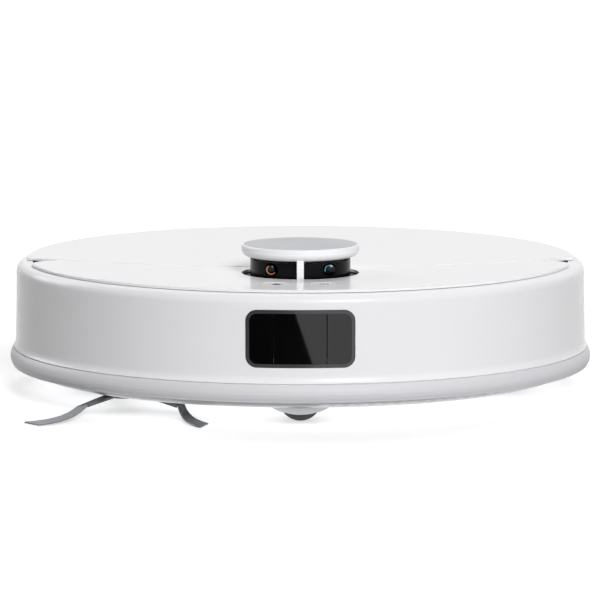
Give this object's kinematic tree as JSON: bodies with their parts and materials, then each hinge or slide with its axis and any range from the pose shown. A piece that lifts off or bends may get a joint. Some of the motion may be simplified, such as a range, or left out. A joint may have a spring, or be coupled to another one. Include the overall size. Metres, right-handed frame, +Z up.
{
  "type": "robot vacuum cleaner",
  "caption": "Round white robot vacuum with a sprung front bumper, laser turret, hinged lid, drive wheels, paired rollers, side brush, dust bin and fan.",
  "frame": {"origin": "on the floor under the middle of the round body", "axes": "+Z up, the robot drives towards -Y, +X is to the right seen from the front"},
  "size_m": [0.353, 0.353, 0.0965],
  "materials": {
    "white_gloss": "glossy white moulded plastic",
    "white_satin": "satin white soft-touch plastic",
    "grey_plastic": "grey moulded plastic",
    "dark_plastic": "dark moulded plastic",
    "dark_bezel": "dark grey gloss bezel",
    "dark_glass": "black infrared window",
    "lens_glass": "coated lens",
    "smoke_bin": "smoked clear plastic",
    "filter_paper": "pleated filter paper",
    "red_rubber": "soft rubber sleeve",
    "tyre_rubber": "black rubber tyre",
    "brush_rubber": "dark grey rubber",
    "brush_nylon": "nylon bristles",
    "steel": "plain steel",
    "brass": "plated contact",
    "gear_nylon": "natural nylon",
    "board_green": "circuit board",
    "battery_wrap": "battery sleeve"
  },
  "bodies": {
    "chassis": {"base_pan": "grey_plastic", "chassis_screws": "steel", "battery_door": "grey_plastic", "cliff_sensor_windows": "dark_glass", "charging_contacts": "brass", "top_housing": "grey_plastic", "lid_hinge_pins": "steel", "rear_shell": "white_gloss", "rear_skirt": "white_satin", "front_panel": "white_gloss", "turret_base": "dark_plastic", "lidar_motor": "steel", "wheel_arm_pins": "steel", "roller_chamber": "dark_plastic", "roller_guard": "grey_plastic", "suction_duct": "dark_plastic", "brush_motor": "steel", "side_brush_gearbox": "dark_plastic", "dustbin_tub": "smoke_bin", "dustbin_cover": "grey_plastic", "hepa_filter": "filter_paper", "fan_housing": "dark_plastic", "battery_pack": "battery_wrap", "main_board": "board_green", "speaker": "dark_plastic"},
    "bumper": {"bumper_shell": "white_gloss", "bumper_strip": "white_satin", "sensor_bezel": "dark_bezel", "projector_window_left": "dark_glass", "camera_window": "dark_glass", "projector_window_right": "dark_glass", "camera_module": "dark_plastic", "line_projectors": "dark_plastic"},
    "lid": {"top_lid": "white_gloss"},
    "cap": {"turret_cap": "white_gloss", "turret_disc": "grey_plastic"},
    "lidar_head": {"lidar_rotor": "dark_glass", "lidar_lenses": "lens_glass"},
    "power_key": {"power_button": "white_gloss"},
    "home_key": {"home_button": "white_gloss"},
    "left_arm": {"left_gear_case": "grey_plastic", "left_wheel_motor": "steel"},
    "left_drive_pinion": {"left_pinion": "brass"},
    "left_wheel": {"left_wheel_hub": "gear_nylon", "left_tyre": "tyre_rubber"},
    "right_arm": {"right_gear_case": "grey_plastic", "right_wheel_motor": "steel"},
    "right_drive_pinion": {"right_pinion": "brass"},
    "right_wheel": {"right_wheel_hub": "gear_nylon", "right_tyre": "tyre_rubber"},
    "front_roller": {"front_roller_core": "dark_plastic", "front_roller_sleeve": "red_rubber"},
    "rear_roller": {"rear_roller_core": "dark_plastic", "rear_roller_sleeve": "red_rubber"},
    "caster": {"caster_fork": "grey_plastic"},
    "caster_roller": {"caster_wheel": "tyre_rubber"},
    "side_brush": {"side_brush_hub": "dark_plastic", "side_brush_arms": "brush_rubber", "side_brush_bristles": "brush_nylon"},
    "fan_wheel": {"impeller": "gear_nylon"}
  },
  "joints": [
    {"name": "bumper_press", "type": "slide", "parent": "chassis", "child": "bumper", "axis": [0, 1, 0], "range_m": [0, 0.0035], "stiffness_N_per_m": 900, "springref_m": -0.002},
    {"name": "lid_hinge", "type": "hinge", "parent": "chassis", "child": "lid", "pos_m": [0, -0.046, 0.0785], "axis": [1, 0, 0], "range_deg": [0, 60]},
    {"name": "turret_press", "type": "slide", "parent": "chassis", "child": "cap", "axis": [0, 0, -1], "range_m": [0, 0.0012], "stiffness_N_per_m": 1500, "springref_m": -0.0008},
    {"name": "lidar_spin", "type": "hinge", "parent": "chassis", "child": "lidar_head", "pos_m": [0, -0.083, 0.082], "axis": [0, 0, 1], "continuous": true},
    {"name": "power_press", "type": "slide", "parent": "chassis", "child": "power_key", "axis": [0, 0, -1], "range_m": [0, 0.0008], "stiffness_N_per_m": 1200, "springref_m": -0.0005},
    {"name": "home_press", "type": "slide", "parent": "chassis", "child": "home_key", "axis": [0, 0, -1], "range_m": [0, 0.0008], "stiffness_N_per_m": 1200, "springref_m": -0.0005},
    {"name": "left_suspension", "type": "hinge", "parent": "chassis", "child": "left_arm", "pos_m": [-0.1, -0.048, 0.042], "axis": [-1, 0, 0], "range_deg": [0, 20], "stiffness_Nm_per_rad": 0.4, "springref_deg": 34.38},
    {"name": "left_wheel_spin", "type": "hinge", "parent": "left_arm", "child": "left_wheel", "pos_m": [-0.121, 0.004, 0.034], "axis": [1, 0, 0], "continuous": true},
    {"name": "left_pinion_spin", "type": "hinge", "parent": "left_arm", "child": "left_drive_pinion", "pos_m": [-0.1, -0.02565, 0.03856], "axis": [1, 0, 0], "continuous": true},
    {"name": "right_suspension", "type": "hinge", "parent": "chassis", "child": "right_arm", "pos_m": [0.1, -0.048, 0.042], "axis": [-1, 0, 0], "range_deg": [0, 20], "stiffness_Nm_per_rad": 0.4, "springref_deg": 34.38},
    {"name": "right_wheel_spin", "type": "hinge", "parent": "right_arm", "child": "right_wheel", "pos_m": [0.121, 0.004, 0.034], "axis": [1, 0, 0], "continuous": true},
    {"name": "right_pinion_spin", "type": "hinge", "parent": "right_arm", "child": "right_drive_pinion", "pos_m": [0.1, -0.02565, 0.03856], "axis": [1, 0, 0], "continuous": true},
    {"name": "front_roller_spin", "type": "hinge", "parent": "chassis", "child": "front_roller", "pos_m": [0, -0.028, 0.0185], "axis": [1, 0, 0], "continuous": true},
    {"name": "rear_roller_spin", "type": "hinge", "parent": "chassis", "child": "rear_roller", "pos_m": [0, 0.009, 0.0185], "axis": [1, 0, 0], "continuous": true},
    {"name": "caster_swivel", "type": "hinge", "parent": "chassis", "child": "caster", "pos_m": [0, -0.14, 0.03], "axis": [0, 0, 1], "continuous": true},
    {"name": "caster_roll", "type": "hinge", "parent": "caster", "child": "caster_roller", "pos_m": [0, -0.138, 0.013], "axis": [1, 0, 0], "continuous": true},
    {"name": "side_brush_spin", "type": "hinge", "parent": "chassis", "child": "side_brush", "pos_m": [-0.102, -0.1, 0.01], "axis": [0, 0, 1], "continuous": true},
    {"name": "fan_spin", "type": "hinge", "parent": "chassis", "child": "fan_wheel", "pos_m": [0.1, 0.082, 0.025], "axis": [0, 0, 1], "continuous": true}
  ],
  "couplings": [
    {"joint": "left_pinion_spin", "follows": "left_wheel_spin", "ratio": -3},
    {"joint": "right_pinion_spin", "follows": "right_wheel_spin", "ratio": -3},
    {"joint": "rear_roller_spin", "follows": "front_roller_spin", "ratio": -1}
  ]
}
